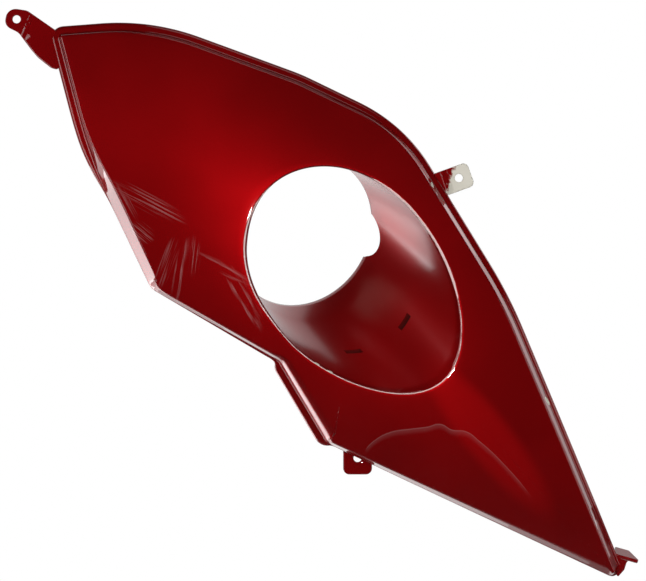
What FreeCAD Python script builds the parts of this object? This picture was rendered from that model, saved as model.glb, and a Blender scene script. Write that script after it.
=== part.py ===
"""Painted plastic lamp cover: one moulded shell with an oblique funnel round the lamp opening.

Units are millimetres and degrees. X points right and Z up along the cover, and the outside faces -Y.
The origin is the centre of the lamp opening, at the back end of its short lip.
"""
import FreeCAD, Part
import math
import os

import Sketcher
from FreeCAD import Placement, Rotation, Vector

doc = FreeCAD.newDocument("lamp_cover")
sheet = doc.addObject("Spreadsheet::Sheet", "sizes")

# Driving dimensions, one row each: alias and value.
SIZES = [
    # Crowned outside face: the place of its highest point, and its two radii.
    ("crown_x", 60.0),
    ("crown_z", -55.0),
    ("face_rise", 50.0),
    ("crown_length_radius", 1000.0),
    ("crown_width_radius", 330.0),
    ("crown_angle", 43.0),
    # Moulding: wall, stepped edge flange and rounded edges.
    ("wall", 2.5),
    ("flange_drop", 7.0),
    ("flange_width", 5.0),
    ("flange_run_x", -126.0),
    ("flange_run_z", 20.0),
    # Lamp opening, its short lip and the egg-shaped rim of the funnel.
    ("opening_radius", 50.0),
    ("opening_tilt", 30.7),
    ("opening_turn", 34.4),
    ("lip_length", 4.0),
    ("lip_step", 0.4),
    ("rim_x", 43.0),
    ("rim_z", -42.5),
    ("rim_forward", 60.0),
    ("rim_half_length", 85.0),
    ("rim_half_width", 59.7),
    ("rim_point", 0.155),
    ("rim_angle", 49.3),
    ("funnel_rim_wall", 3.4),
    # Notch in the back edge of the funnel, and the two slots through its wall.
    ("notch_radius", 15.0),
    ("notch_depth", 11.5),
    ("notch_turn", 44.6),
    ("slot_length", 11.0),
    ("slot_width", 4.0),
    ("slot_right_turn", 13.4),
    ("slot_low_turn", -30.9),
    ("slot_share", 0.44),
    # Fixing tabs.
    ("tab_wall", 2.5),
    ("tab_hole_radius", 2.6),
    ("tab_seat", 1.2),
    ("top_tab_x", -184.2),
    ("top_tab_z", 136.9),
    ("top_tab_radius", 7.6),
    ("top_tab_joggle", 1.8),
    ("top_tab_root", 22.0),
    ("top_tab_waist_x", -174.5),
    ("top_tab_waist_z", 116.5),
    ("side_tab_x", 100.6),
    ("side_tab_z", 33.4),
    ("side_tab_angle", 19.9),
    ("side_tab_width", 16.0),
    ("side_tab_end", 8.2),
    ("side_tab_neck", 12.0),
    ("side_tab_root", 19.0),
    ("side_tab_corner", 3.5),
    ("low_tab_x", 36.0),
    ("low_tab_z", -145.6),
    ("low_tab_width", 18.5),
    ("low_tab_end", 10.6),
    ("low_tab_root", 11.0),
    ("low_tab_set", 5.0),
    ("low_tab_corner", 4.0),
    ("tip_tab_x", 203.0),
    ("tip_tab_z", -207.8),
    ("tip_tab_fall", 15.5),
    ("tip_tab_rise", 20.0),
    ("tip_tab_length", 15.0),
    ("tip_tab_back_length", 6.5),
    ("tip_tab_depth", 13.0),
    ("tip_gusset_height", 12.0),
]

# Corners of the outline in order round the cover: name, X, Z and corner radius.
CORNERS = [
    ("upper_left", -157.4, 126.9, 3.0),
    ("left_bend", -135.4, 44.7, 333.0),
    ("lower_left", -96.2, -37.2, 12.0),
    ("step_inner", -15.0, -83.3, 8.0),
    ("step_outer", 16.2, -135.7, 6.0),
    ("tip", 203.8, -224.2, 3.0),
    ("right_bend", 127.6, -43.0, 288.0),
    ("shoulder", 62.2, 64.1, 102.0),
    ("top_bend", -1.8, 95.2, 123.0),
    ("crest", -97.2, 130.6, 151.0),
]
for corner, x, z, radius in CORNERS:
    SIZES += [(corner + "_x", x), (corner + "_z", z), (corner + "_corner", radius)]

for row, (alias, value) in enumerate(SIZES, 1):
    sheet.set(f"A{row}", alias)
    sheet.set(f"B{row}", str(value))
    sheet.setAlias(f"B{row}", alias)
doc.recompute()


def size(alias):
    """Value of one driving dimension."""
    return float(sheet.get(alias))


def bind(thing, **expressions):
    """Tie properties of a document object to expressions of the sheet."""
    for name, expression in expressions.items():
        thing.setExpression(name, expression)
    return thing


def add(kind, name, **properties):
    """New document object with plain property values."""
    thing = doc.addObject(kind, name)
    for key, value in properties.items():
        setattr(thing, key, value)
    return thing


def feature(name, shape):
    """Document object that holds a shape worked out from the sheet."""
    thing = doc.addObject("Part::Feature", name)
    thing.Shape = shape
    return thing


def cut(name, base, tool):
    return add("Part::Cut", name, Base=base, Tool=tool)


def common(name, first, second):
    return add("Part::Common", name, Base=first, Tool=second)


def fuse(name, shapes):
    return add("Part::MultiFuse", name, Shapes=shapes)


# The outline sketch stands in the XZ plane: straight runs between corners, each rounded by its own radius.
FRONT = Rotation(Vector(1, 0, 0), 90)


def rounded_outline(name, corners):
    """Closed sketch through named corners; each corner has its X, Z and radius cells."""
    sketch = doc.addObject("Sketcher::SketchObject", name)
    sketch.Placement = Placement(Vector(), FRONT)
    places = [Vector(size(c + "_x"), size(c + "_z"), 0) for c in corners]
    count = len(corners)
    arcs = []
    lines = []
    for i, corner in enumerate(corners):
        before = (places[i - 1] - places[i]).normalize()
        after = (places[(i + 1) % count] - places[i]).normalize()
        half = before.getAngle(after) / 2
        radius = size(corner + "_corner")
        centre = places[i] + (before + after).normalize() * (radius / math.sin(half))
        reach = radius / math.tan(half)
        ends = [places[i] + before * reach, places[i] + after * reach]
        convex = before.cross(after).z < 0
        if not convex:
            ends.reverse()
        angles = [math.atan2(p.y - centre.y, p.x - centre.x) for p in ends]
        circle = Part.Circle(centre, Vector(0, 0, 1), radius)
        arcs.append((sketch.addGeometry(Part.ArcOfCircle(circle, *angles)), convex, ends))
    for i, corner in enumerate(corners):
        arc, convex, ends = arcs[i]
        next_arc, next_convex, next_ends = arcs[(i + 1) % count]
        start = ends[1] if convex else ends[0]
        stop = next_ends[0] if next_convex else next_ends[1]
        line = sketch.addGeometry(Part.LineSegment(start, stop))
        sketch.addConstraint(Sketcher.Constraint("Tangent", arc, 2 if convex else 1, line, 1))
        sketch.addConstraint(Sketcher.Constraint("Tangent", line, 2, next_arc, 1 if next_convex else 2))
        lines.append(line)
    for i, corner in enumerate(corners):
        point = sketch.addGeometry(Part.Point(places[i]), True)
        sketch.addConstraint(Sketcher.Constraint("PointOnObject", point, 1, lines[i]))
        sketch.addConstraint(Sketcher.Constraint("PointOnObject", point, 1, lines[i - 1]))
        for kind, ending, value in (("DistanceX", "_x", places[i].x), ("DistanceY", "_z", places[i].y)):
            number = sketch.addConstraint(Sketcher.Constraint(kind, -1, 1, point, 1, value))
            sketch.setExpression(f"Constraints[{number}]", "sizes." + corner + ending)
        number = sketch.addConstraint(Sketcher.Constraint("Radius", arcs[i][0], size(corner + "_corner")))
        sketch.setExpression(f"Constraints[{number}]", "sizes." + corner + "_corner")
    return sketch


def polygon_prism(name, points):
    """Prism through the whole depth of the cover over straight-sided points."""
    vectors = [Vector(point.x, -REACH, point.z) for point in points]
    face = Part.Face(Part.makePolygon(vectors + vectors[:1]))
    return feature(name, face.extrude(Vector(0, 2 * REACH, 0)))


# Depth that reaches past the whole cover, front and back.
REACH = 2 * size("face_rise") + size("rim_forward")


def prism(name, outline):
    """The outline carried through the whole depth of the cover."""
    solid = add("Part::Extrusion", name, Base=outline, DirMode="Custom", Dir=Vector(0, -1, 0), Solid=True)
    solid.LengthFwd = REACH
    solid.LengthRev = REACH
    return solid


# Crown: a patch of a large torus, its ring along the length of the cover and its tube across it.
ACROSS = Vector(math.sin(math.radians(size("crown_angle"))), 0, math.cos(math.radians(size("crown_angle"))))
ALONG = Vector(ACROSS.z, 0, -ACROSS.x)


def crown(name, inset):
    """Torus whose outside is the face, set back by an expression of the sheet."""
    torus = doc.addObject("Part::Torus", name)
    bind(torus,
         Radius1="sizes.crown_length_radius - sizes.crown_width_radius",
         Radius2="sizes.crown_width_radius - (" + inset + ")")
    centre = Vector(size("crown_x"), size("crown_length_radius") - size("face_rise"), size("crown_z"))
    torus.Placement = Placement(centre, Rotation(Vector(0, 0, 1), ACROSS))
    return torus


def face_depth(x, z):
    """Y of the outside face at X, Z."""
    offset = Vector(x - size("crown_x"), 0, z - size("crown_z"))
    across, along = offset.dot(ACROSS), offset.dot(ALONG)
    length_radius, width_radius = size("crown_length_radius"), size("crown_width_radius")
    tube = length_radius - width_radius + math.sqrt(width_radius ** 2 - across ** 2)
    return length_radius - size("face_rise") - math.sqrt(tube ** 2 - along ** 2)


crown_face = crown("crown_face", "0")
crown_middle = crown("crown_middle", "sizes.wall / 2")
crown_inside = crown("crown_inside", "sizes.wall")
crown_flange = crown("crown_flange", "sizes.flange_drop")
crown_back = crown("crown_back", "sizes.flange_drop + sizes.wall")

outline = rounded_outline("outline", [corner for corner, *_ in CORNERS])
inside_outline = bind(add("Part::Offset2D", "inside_outline", Source=outline, Join=2), Value="-sizes.wall")
flange_outline = bind(add("Part::Offset2D", "flange_outline", Source=outline, Join=2), Value="sizes.flange_width")
doc.recompute()
outside_prism = prism("outside_prism", outline)
inside_prism = prism("inside_prism", inside_outline)
flange_prism = prism("flange_prism", flange_outline)

block = common("block", outside_prism, crown_face)
hollow = common("hollow", inside_prism, crown_inside)
doc.recompute()

# Flange: a sheet that follows the crown one step lower, along the top, right and step edges only.
corner_at = {corner: Vector(size(corner + "_x"), 0, size(corner + "_z")) for corner, *_ in CORNERS}
bottom_run = (corner_at["tip"] - corner_at["step_outer"]).normalize()
left_run = (corner_at["step_inner"] - corner_at["lower_left"]).normalize()
step_run = (corner_at["step_outer"] - corner_at["step_inner"]).normalize()
step_out = Vector(step_run.z, 0, -step_run.x)
flange_reach = 2 * size("flange_width")
run_out = Vector(size("flange_run_x"), 0, size("flange_run_z"))
upper_side = (corner_at["upper_left"] - corner_at["left_bend"]).normalize()
taper_end = run_out + upper_side * (12 * size("flange_width")) + Vector(-flange_reach / 2, 0, 0)
far_left = Vector(-2 * REACH, 0, 2 * REACH)
far_right = Vector(2 * REACH, 0, 2 * REACH)
past_tip = corner_at["tip"] + bottom_run * flange_reach
TOP_ZONE = [run_out, corner_at["tip"], past_tip, far_right, far_left, taper_end]
STEP_ZONE = [
    corner_at["step_inner"] - step_out * flange_reach,
    corner_at["step_inner"] - left_run * (flange_reach * 1.3),
    corner_at["step_outer"] + step_out * (flange_reach * 0.7) - step_run * flange_reach,
    corner_at["step_outer"],
]
zones = fuse("flange_zones", [
    polygon_prism("top_zone", TOP_ZONE),
    polygon_prism("step_zone", STEP_ZONE),
])
flange_strip = common("flange_strip", flange_prism, zones)

# The strap of the upper left tab and the gusset at the tip are wider stretches of the same flange.
top_hole_at = Vector(size("top_tab_x"), 0, size("top_tab_z"))
strap_root = corner_at["upper_left"]
strap_foot = strap_root - upper_side * size("top_tab_root")
strap_waist = Vector(size("top_tab_waist_x"), 0, size("top_tab_waist_z"))
strap_way = (top_hole_at - strap_root).normalize()
strap_side = Vector(strap_way.z, 0, -strap_way.x)
pad_reach = strap_side * size("top_tab_radius")
bend = top_hole_at - strap_way * size("top_tab_radius")
STRAP = [strap_root, bend + pad_reach, bend - pad_reach, strap_waist, strap_foot]
strap = polygon_prism("strap", STRAP)

tip_tab_at = Vector(size("tip_tab_x"), 0, size("tip_tab_z"))
tip_way = Vector(math.cos(math.radians(size("tip_tab_fall"))), 0, -math.sin(math.radians(size("tip_tab_fall"))))
GUSSET = [
    tip_tab_at - tip_way * size("flange_width"),
    tip_tab_at + tip_way * (size("tip_tab_length") * 0.6),
    tip_tab_at + tip_way * (size("tip_tab_length") * 0.35) - Vector(0, 0, size("tip_gusset_height") / 2),
    corner_at["tip"],
]
gusset = polygon_prism("gusset", GUSSET)
flange_block = common("flange_block", fuse("flange_plan", [flange_strip, strap, gusset]), crown_flange)

# Shell: crowned face, side walls and flange in one, hollow behind and trimmed along the flange's back.
solid_cover = fuse("solid_cover", [block, flange_block])
shell = cut("shell", cut("hollow_cover", solid_cover, hollow), crown_back)

# Funnel: straight lines from the ring of the lamp opening to the egg-shaped rim just in front of the face.
tilt, turn = math.radians(size("opening_tilt")), math.radians(size("opening_turn"))
forward = Vector(math.sin(tilt) * math.cos(turn), -math.cos(tilt), -math.sin(tilt) * math.sin(turn))
rim_turn = math.radians(size("rim_angle"))
rim_long = Vector(math.cos(rim_turn), 0, -math.sin(rim_turn))
rim_wide = Vector(math.sin(rim_turn), 0, math.cos(rim_turn))
ring_long = (rim_long - forward * rim_long.dot(forward)).normalize()
ring_wide = forward.cross(ring_long)
STATIONS = [math.tau * i / 12 for i in range(12)]


def ring_point(angle, extra=0.0):
    """Point on the front end of the lip: a circle square to the lamp's axis."""
    radius = size("opening_radius") + extra
    spoke = ring_long * math.cos(angle) + ring_wide * math.sin(angle)
    return forward * size("lip_length") + spoke * radius


def rim_point(angle, extra=0.0):
    """Point on the egg: an ellipse whose width shrinks towards its pointed lower end."""
    length = size("rim_half_length") + extra
    width = (size("rim_half_width") + extra) * (1 - size("rim_point") * math.cos(angle))
    centre = Vector(size("rim_x"), -size("rim_forward"), size("rim_z"))
    return centre + rim_long * (length * math.cos(angle)) + rim_wide * (width * math.sin(angle))


def funnel_point(angle, share):
    """Point on the inside of the funnel wall, a share of the way from the lip to the rim."""
    start = ring_point(angle)
    return start + (rim_point(angle) - start) * share


def closed_curve(name, place, extra):
    """Smooth closed curve through the stations of a ring or egg."""
    curve = Part.BSplineCurve()
    points = [place(angle, extra) for angle in STATIONS]
    curve.interpolate(Points=points, PeriodicFlag=True, Parameters=STATIONS + [math.tau])
    return feature(name, Part.Wire([curve.toShape()]))


def funnel_loft(name, ring_extra, rim_extra):
    """Solid between the ring and the egg."""
    sections = [closed_curve(name + "_ring", ring_point, ring_extra), closed_curve(name + "_rim", rim_point, rim_extra)]
    return add("Part::Loft", name, Sections=sections, Solid=True, Ruled=True)


def lip(name, radius, back):
    """Cylinder on the lamp's axis that reaches just into the start of the funnel."""
    cylinder = bind(doc.addObject("Part::Cylinder", name), Radius=radius)
    cylinder.Height = size("lip_length") + size("lip_step") + back
    cylinder.Placement = Placement(forward * -back, Rotation(Vector(0, 0, 1), forward))
    return cylinder


funnel_outside = funnel_loft("funnel_outside", size("wall") + size("lip_step"), size("funnel_rim_wall"))
funnel_inside = funnel_loft("funnel_inside", size("lip_step"), 0.0)
lip_outside = lip("lip_outside", "sizes.opening_radius + sizes.wall", 0.0)
lip_inside = lip("lip_inside", "sizes.opening_radius", size("lip_length"))
funnel_body = common("funnel_body", fuse("funnel_full", [funnel_outside, lip_outside]), crown_middle)

# Notch in the back edge, and two slots square to the wall.
spoke = ring_long * math.cos(math.radians(size("notch_turn"))) + ring_wide * math.sin(math.radians(size("notch_turn")))
notch = bind(doc.addObject("Part::Cylinder", "notch"), Radius="sizes.notch_radius", Height="sizes.opening_radius")
notch_start = forward * (size("notch_depth") - size("notch_radius")) + spoke * (size("opening_radius") / 2)
notch.Placement = Placement(notch_start, Rotation(Vector(0, 0, 1), spoke))


def slot(name, turn_alias):
    """Box across the funnel wall, its length along the wall's turn."""
    angle, share = math.radians(size(turn_alias)), size("slot_share")
    step = 0.001
    middle = funnel_point(angle, share)
    length_way = (funnel_point(angle + step, share) - middle).normalize()
    slope_way = (funnel_point(angle, share + step) - middle).normalize()
    through = length_way.cross(slope_way).normalize()
    box = bind(doc.addObject("Part::Box", name),
               Length="sizes.slot_length", Width="sizes.slot_width", Height="6 * sizes.wall")
    rotation = Rotation(length_way, through.cross(length_way), through, "ZXY")
    half = Vector(size("slot_length") / 2, size("slot_width") / 2, 3 * size("wall"))
    box.Placement = Placement(middle - rotation.multVec(half), rotation)
    return box


slots = [slot("slot_right", "slot_right_turn"), slot("slot_low", "slot_low_turn")]
doc.recompute()


# Fixing tabs: flat plates behind the edge of the cover, each with a hole towards the viewer.
def seat_depth(x, z):
    """Y of the front of a tab plate that seats on the back edge of the wall or flange."""
    return face_depth(x, z) + size("flange_drop") + size("wall") - size("tab_seat")


def plate(name, points, front, radius):
    """Plate in the XZ plane over straight-sided points, its outer corners rounded."""
    vectors = [Vector(x, front, z) for x, z in points]
    face = Part.Face(Part.makePolygon(vectors + vectors[:1]))
    solid = face.extrude(Vector(0, size("tab_wall"), 0))
    upright = [e for e in solid.Edges if abs(e.tangentAt(e.FirstParameter).y) > 0.9]
    ends = [e for e in upright if any(e.Vertexes[0].Point.distanceToPoint(v) < 0.01 or
                                      e.Vertexes[-1].Point.distanceToPoint(v) < 0.01 for v in vectors[1:3])]
    return feature(name, solid.makeFillet(radius, ends) if radius else solid)


def tab_points(x, z, angle, width, end, root):
    """Corners of a straight tab: its hole at X, Z, pointing along the angle."""
    way = Vector(math.cos(math.radians(angle)), 0, math.sin(math.radians(angle)))
    side = Vector(-way.z, 0, way.x) * (width / 2)
    hole = Vector(x, 0, z)
    corners = [hole - way * root - side, hole + way * end - side, hole + way * end + side, hole - way * root + side]
    return [(c.x, c.z) for c in corners]


def tab_hole(name, x, z, y):
    """Clearance hole square to the plate."""
    hole = bind(doc.addObject("Part::Cylinder", name), Radius="sizes.tab_hole_radius", Height="2 * sizes.tab_wall")
    hole.Placement = Placement(Vector(x, y + 1.5 * size("tab_wall"), z), FRONT)
    return hole


# Upper left tab: a round pad set one joggle behind its strap.
pad_x, pad_z = top_hole_at.x, top_hole_at.z
pad_y = face_depth(bend.x, bend.z) + size("flange_drop") + size("top_tab_joggle")
pad_disc = bind(doc.addObject("Part::Cylinder", "pad_disc"), Radius="sizes.top_tab_radius", Height="sizes.tab_wall")
pad_disc.Placement = Placement(Vector(pad_x, pad_y + size("tab_wall"), pad_z), FRONT)
overlap = bend - strap_way * size("tab_wall")
PAD_NECK = [top_hole_at + pad_reach, top_hole_at - pad_reach, overlap - pad_reach, overlap + pad_reach]
pad_neck = plate("pad_neck", [(p.x, p.z) for p in PAD_NECK], pad_y, 0)
pad_hole = tab_hole("pad_hole", pad_x, pad_z, pad_y)

# Right tab: a straight plate behind the flange.
side_x, side_z = size("side_tab_x"), size("side_tab_z")
side_way = Vector(math.cos(math.radians(size("side_tab_angle"))), 0, math.sin(math.radians(size("side_tab_angle"))))
side_neck = Vector(side_x, 0, side_z) - side_way * size("side_tab_neck")
side_y = seat_depth(side_neck.x, side_neck.z)
side_corners = tab_points(side_x, side_z, size("side_tab_angle"), size("side_tab_width"),
                          size("side_tab_end"), size("side_tab_root"))
side_tab = plate("side_tab", side_corners, side_y, size("side_tab_corner"))
side_hole = tab_hole("side_hole", side_x, side_z, side_y)

# Bottom tab: a plate behind the bottom edge, carried by a rib from the back of the face.
low_x, low_z = size("low_tab_x"), size("low_tab_z")
low_y = seat_depth(low_x, low_z) + size("tab_seat") + size("low_tab_set")
low_corners = tab_points(low_x, low_z, -90.0, size("low_tab_width"), size("low_tab_end"), size("low_tab_root"))
low_tab = plate("low_tab", low_corners, low_y, size("low_tab_corner"))
low_hole = tab_hole("low_hole", low_x, low_z, low_y)
rib_z = low_z + size("low_tab_root")
rib_front = face_depth(low_x, rib_z) - size("low_tab_width")
rib_box = bind(doc.addObject("Part::Box", "rib_box"), Length="sizes.low_tab_width", Height="sizes.tab_wall")
rib_box.Width = low_y + size("tab_wall") - rib_front
rib_box.Placement = Placement(Vector(low_x - size("low_tab_width") / 2, rib_front, rib_z - size("tab_wall")), Rotation())
low_rib = common("low_rib", rib_box, crown_middle)

# Tip tab: a small pointed plate folded back from the gusset.
tip_y = face_depth(tip_tab_at.x, tip_tab_at.z) + size("flange_drop")
rise = math.radians(size("tip_tab_rise"))
tip_up = Vector(-tip_way.z, 0, tip_way.x)
tip_back = Vector(0, math.cos(rise), 0) + tip_up * math.sin(rise)
tip_start = Vector(tip_tab_at.x, tip_y, tip_tab_at.z)
tip_corners = [
    tip_start - tip_way * size("tab_wall"),
    tip_start + tip_way * size("tip_tab_length"),
    tip_start + tip_way * size("tip_tab_back_length") + tip_back * size("tip_tab_depth"),
    tip_start - tip_way * size("tab_wall") + tip_back * size("tip_tab_depth"),
]
tip_face = Part.Face(Part.makePolygon(tip_corners + tip_corners[:1]))
tip_tab = feature("tip_tab", tip_face.extrude(tip_back.cross(tip_way).normalize() * size("tab_wall")))

plates = [pad_disc, pad_neck, side_tab, low_tab, low_rib, tip_tab]
cover_parts = fuse("cover_parts", [shell, funnel_body, *plates])
cutters = fuse("cutters", [funnel_inside, lip_inside, notch, *slots, pad_hole, side_hole, low_hole])
cover = cut("cover", cover_parts, cutters)
cover.Label = "lamp_cover"
doc.recompute()

failed = [thing.Name for thing in doc.Objects if {"Invalid", "Error"} & set(thing.State)]
if failed:
    raise RuntimeError("failed objects: " + ", ".join(failed))
if cover.Shape.isNull() or not cover.Shape.isValid() or len(cover.Shape.Solids) != 1:
    raise RuntimeError("the cover is not one valid solid")
print("volume", round(cover.Shape.Volume), "box", cover.Shape.BoundBox, "tab depths", pad_y, side_y, low_y)
os.makedirs("parts", exist_ok=True)
cover.Shape.exportStep("parts/" + cover.Label + ".step")
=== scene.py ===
import math

import bpy
import numpy as np
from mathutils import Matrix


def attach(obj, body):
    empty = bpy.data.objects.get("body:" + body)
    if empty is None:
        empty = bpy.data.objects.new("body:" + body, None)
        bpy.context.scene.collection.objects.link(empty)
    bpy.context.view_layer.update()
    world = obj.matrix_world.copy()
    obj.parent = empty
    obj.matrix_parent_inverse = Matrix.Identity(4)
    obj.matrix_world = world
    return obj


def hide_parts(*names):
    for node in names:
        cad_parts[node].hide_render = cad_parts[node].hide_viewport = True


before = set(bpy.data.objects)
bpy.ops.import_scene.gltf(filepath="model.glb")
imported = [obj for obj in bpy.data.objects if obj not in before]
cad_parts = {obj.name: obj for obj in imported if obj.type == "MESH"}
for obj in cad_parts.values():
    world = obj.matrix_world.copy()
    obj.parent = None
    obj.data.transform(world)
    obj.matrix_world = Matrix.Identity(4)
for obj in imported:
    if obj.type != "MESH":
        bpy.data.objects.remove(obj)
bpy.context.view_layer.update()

# Outline and crown: the cover is one moulding of off-white plastic, held by its tabs. Its edge is a closed
# run of straights and bends, and its outside is a patch of a large torus, 1000 mm along the cover and
# 330 mm across it, highest near the lamp opening. All lengths are in millimetres until the mesh is made.
# Each corner is X, Z and the radius of its bend.
CORNERS = np.array([
    (-157.4, 126.9, 3.0),
    (-135.4, 44.7, 333.0),
    (-96.2, -37.2, 12.0),
    (-15.0, -83.3, 8.0),
    (16.2, -135.7, 6.0),
    (203.8, -224.2, 3.0),
    (127.6, -43.0, 288.0),
    (62.2, 64.1, 102.0),
    (-1.8, 95.2, 123.0),
    (-97.2, 130.6, 151.0),
])
CROWN_AT = np.array([60.0, -55.0])
CROWN_RISE = 50.0
LENGTH_RADIUS = 1000.0
WIDTH_RADIUS = 330.0
CROWN_TURN = math.radians(43.0)


def crown(x, z, inset=0.0):
    """Depth of the crowned face: Y = R - rise - sqrt(tube^2 - lengthwise^2), where the tube's reach is
    R - r + sqrt((r - inset)^2 - across^2)."""
    dx = x - CROWN_AT[0]
    dz = z - CROWN_AT[1]
    across = dx * math.sin(CROWN_TURN) + dz * math.cos(CROWN_TURN)
    lengthwise = dx * math.cos(CROWN_TURN) - dz * math.sin(CROWN_TURN)
    tube = LENGTH_RADIUS - WIDTH_RADIUS + np.sqrt((WIDTH_RADIUS - inset) ** 2 - across ** 2)
    return LENGTH_RADIUS - CROWN_RISE - np.sqrt(tube ** 2 - lengthwise ** 2)


def rounded_loop(corners, step):
    """Closed loop of straights and arcs: each corner becomes an arc of its radius, tangent to both sides.
    Gives X, Z, heading and radius at the points of the arcs, one about every step of heading."""
    places = corners[:, :2]
    runs = []
    for i, radius in enumerate(corners[:, 2]):
        before = places[i - 1] - places[i]
        after = places[(i + 1) % len(corners)] - places[i]
        before = before / np.hypot(*before)
        after = after / np.hypot(*after)
        half = math.acos(np.clip(before @ after, -1, 1)) / 2
        middle = before + after
        centre = places[i] + middle / np.hypot(*middle) * radius / math.sin(half)
        side = np.sign(-before[0] * after[1] + before[1] * after[0])
        sweep = side * (math.pi - 2 * half)
        heading = math.atan2(-before[1], -before[0]) + np.linspace(0, sweep, max(4, int(abs(sweep) / step)))
        spoke = heading - side * math.pi / 2
        runs.append(np.stack([
            centre[0] + radius * np.cos(spoke),
            centre[1] + radius * np.sin(spoke),
            heading,
            np.full(len(heading), radius),
        ], 1))
    loop = np.concatenate(runs + [runs[0][:1]])
    loop[:, 2] = np.unwrap(loop[:, 2])
    return loop


# Lamp funnel: straight lines run from the round lip of the lamp opening, whose axis leans down and to the
# right, to an egg-shaped rim in the face. It is moulded with the face, and both are one painted wall.
OPENING_RADIUS = 50.0
LIP = 4.0
OPENING_TILT = math.radians(30.7)
OPENING_TURN = math.radians(34.4)
EGG_AT = np.array([43.0, -60.0, -42.5])
EGG_LENGTH = 85.0
EGG_WIDTH = 59.7
EGG_POINT = 0.155
EGG_TURN = math.radians(49.3)
WALL = 2.5
FORWARD = np.array([
    math.sin(OPENING_TILT) * math.cos(OPENING_TURN),
    -math.cos(OPENING_TILT),
    -math.sin(OPENING_TILT) * math.sin(OPENING_TURN),
])
EGG_LONG = np.array([math.cos(EGG_TURN), 0.0, -math.sin(EGG_TURN)])
EGG_WIDE = np.array([math.sin(EGG_TURN), 0.0, math.cos(EGG_TURN)])
RING_LONG = EGG_LONG - FORWARD * (EGG_LONG @ FORWARD)
RING_LONG = RING_LONG / np.linalg.norm(RING_LONG)
RING_WIDE = np.cross(FORWARD, RING_LONG)


def along(way, amount):
    """One vector times a whole array of amounts."""
    return np.asarray(amount)[..., None] * way


def ring(turn, height, extra=0.0):
    """Lip: height * forward + radius * (cos t * ring_long + sin t * ring_wide)."""
    spoke = along(RING_LONG, np.cos(turn)) + along(RING_WIDE, np.sin(turn))
    return along(FORWARD, height) + (OPENING_RADIUS + extra) * spoke


def egg(turn, extra=0.0):
    """Egg in a plane in front of the face: centre + a cos t * long + b (1 - p cos t) sin t * wide."""
    length = EGG_LENGTH + extra
    width = (EGG_WIDTH + extra) * (1 - EGG_POINT * np.cos(turn))
    return EGG_AT + along(EGG_LONG, length * np.cos(turn)) + along(EGG_WIDE, width * np.sin(turn))


def funnel(turn, share, extra=0.0):
    """Funnel wall: lip end + share * (egg - lip end)."""
    start = ring(turn, np.full(np.shape(turn), LIP), extra)
    return start + np.asarray(share)[..., None] * (egg(turn, extra) - start)


def rim_share(turn, inset, extra):
    """Share at which each line of the funnel meets the crown set back by inset, found by halving."""
    low = np.zeros_like(turn)
    high = np.ones_like(turn)
    for _ in range(40):
        middle = (low + high) / 2
        point = funnel(turn, middle, extra)
        behind = point[:, 1] > crown(point[:, 0], point[:, 2], inset)
        low = np.where(behind, middle, low)
        high = np.where(behind, high, middle)
    return low


# Columns: each one is a cross-section of the cover, from a point of the outline to the rim point that lies
# in the same direction from the middle of the egg. They are closer at sharp bends, slots and the notch.
loop = rounded_loop(CORNERS, 0.01)
run = np.concatenate([[0.0], np.cumsum(np.hypot(np.diff(loop[:, 0]), np.diff(loop[:, 1])))])
COLUMN_STEP = 2.4
BEND_STEP = 0.45
STEP_PER_RADIUS = 0.16
STRAIGHT_BELOW = 1e-4
FINE_POINTS = 20001
FADE_POINTS = 150
fine_run = np.linspace(0, run[-1], FINE_POINTS)
fine_step = np.interp(fine_run, run, np.clip(STEP_PER_RADIUS * loop[:, 3], BEND_STEP, COLUMN_STEP))
bend = np.interp(fine_run, run, np.gradient(loop[:, 2], run + 1e-9 * np.arange(len(run))))
fine_step = np.where(np.abs(bend) < STRAIGHT_BELOW, COLUMN_STEP, fine_step)
smooth = np.hanning(2 * FADE_POINTS + 1)
fine_step = np.convolve(np.pad(fine_step, FADE_POINTS, mode="wrap"), smooth / smooth.sum(), mode="valid")
mean_density = (1 / fine_step[1:] + 1 / fine_step[:-1]) / 2
count_run = np.concatenate([[0.0], np.cumsum(mean_density * np.diff(fine_run))])
column_count = int(count_run[-1])
base_run = np.interp(np.arange(column_count) * count_run[-1] / column_count, count_run, fine_run)
EGG_MIDDLE = EGG_AT[[0, 2]]


def direction(x, z):
    """Angle of a point seen from the middle of the egg."""
    return np.arctan2(z - EGG_MIDDLE[1], x - EGG_MIDDLE[0])


turn_table = np.linspace(-math.pi, math.pi, 4001)
rim_table = funnel(turn_table, rim_share(turn_table, 0.0, 0.0))
rim_way = np.unwrap(direction(rim_table[:, 0], rim_table[:, 2]))
loop_way = np.unwrap(direction(loop[:, 0], loop[:, 1]))

# Slots and notch: two slots are cut in the floor of the funnel, and a round bite out of its back end.
# Their places are turns round the lip, and the slots lie a share of the way from the lip to the egg.
SLOT_TURNS = np.radians([13.4, -30.9])
SLOT_SHARE = 0.44
SLOT_LENGTH = 11.0
SLOT_WIDTH = 4.0
NOTCH_TURN = math.radians(44.6)
NOTCH_RADIUS = 15.0
NOTCH_DEPTH = 11.5
NUDGE = 1e-4
slot_shares = np.full(len(SLOT_TURNS), SLOT_SHARE)
slot_middle = funnel(SLOT_TURNS, slot_shares)
slot_stretch = np.linalg.norm(funnel(SLOT_TURNS + NUDGE, slot_shares) - slot_middle, axis=1) / NUDGE
slot_half = SLOT_LENGTH / 2 / slot_stretch
slot_rise = np.linalg.norm(funnel(SLOT_TURNS, slot_shares + NUDGE) - slot_middle, axis=1) / NUDGE
slot_band = SLOT_WIDTH / 2 / slot_rise.mean()
notch_half = math.asin(math.sqrt(NOTCH_RADIUS ** 2 - (NOTCH_RADIUS - NOTCH_DEPTH) ** 2) / OPENING_RADIUS)
notch_ends = [NOTCH_TURN - notch_half, NOTCH_TURN + notch_half]
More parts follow.
